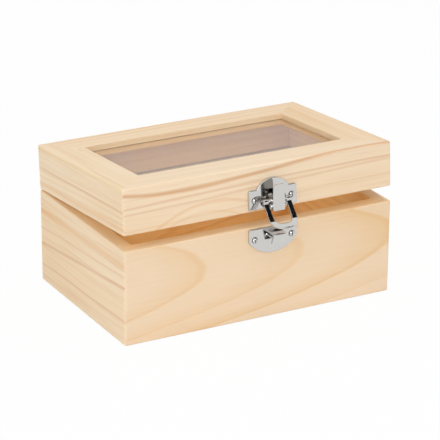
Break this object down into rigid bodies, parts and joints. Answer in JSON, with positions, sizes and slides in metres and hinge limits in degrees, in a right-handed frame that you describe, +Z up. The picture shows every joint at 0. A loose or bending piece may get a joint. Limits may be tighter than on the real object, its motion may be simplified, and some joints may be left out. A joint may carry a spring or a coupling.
{
  "type": "keepsake box",
  "caption": "Small pine keepsake box with a mitred frame lid, a glass window, butt hinges and a nickel draw latch.",
  "frame": {"origin": "centre of the box's underside, on the surface it stands on", "axes": "+X along the front to the right as seen from in front, +Y from the front to the hinges at the back, +Z up"},
  "size_m": [0.155, 0.1209, 0.0827],
  "materials": {
    "pine": "sanded, unvarnished",
    "floor_panel": "sanded plywood",
    "glass": "clear, polished",
    "nickel": "polished nickel plate"
  },
  "bodies": {
    "base": {"base_front_wall": "pine", "base_back_wall": "pine", "base_left_wall": "pine", "base_right_wall": "pine", "base_floor": "floor_panel", "left_hinge_base_leaf": "nickel", "left_hinge_base_screws": "nickel", "left_hinge_pin": "nickel", "right_hinge_base_leaf": "nickel", "right_hinge_base_screws": "nickel", "right_hinge_pin": "nickel", "latch_keeper": "nickel", "keeper_screws": "nickel"},
    "lid": {"lid_front_rail": "pine", "lid_back_rail": "pine", "lid_left_rail": "pine", "lid_right_rail": "pine", "window_glass": "glass", "glass_bead_front": "pine", "glass_bead_back": "pine", "glass_bead_left": "pine", "glass_bead_right": "pine", "left_hinge_lid_leaf": "nickel", "left_hinge_lid_screws": "nickel", "right_hinge_lid_leaf": "nickel", "right_hinge_lid_screws": "nickel", "latch_plate": "nickel", "latch_plate_screws": "nickel", "lever_pin": "nickel"},
    "lever": {"latch_lever": "nickel"},
    "bail_axle": {"bail_pin": "nickel"},
    "bail": {"latch_bail": "nickel"}
  },
  "joints": [
    {"name": "lid_hinge", "type": "hinge", "parent": "base", "child": "lid", "pos_m": [0, 0.0525, 0.05085], "axis": [-1, 0, 0], "range_deg": [-4.4, 175.6]},
    {"name": "lever_pivot", "type": "hinge", "parent": "lid", "child": "lever", "pos_m": [0.0062, -0.05426, 0.06202], "axis": [1, 0, 0], "range_deg": [0, 120]},
    {"name": "bail_pin_turn", "type": "hinge", "parent": "lever", "child": "bail_axle", "pos_m": [0.0062, -0.05374, 0.06479], "axis": [-1, 0, 0], "range_deg": [0, 120]},
    {"name": "bail_swing", "type": "hinge", "parent": "bail_axle", "child": "bail", "pos_m": [0.0062, -0.05374, 0.06479], "axis": [-1, 0, 0], "range_deg": [-47, 122]}
  ],
  "couplings": [
    {"joint": "bail_pin_turn", "follows": "lever_pivot", "ratio": 1}
  ]
}
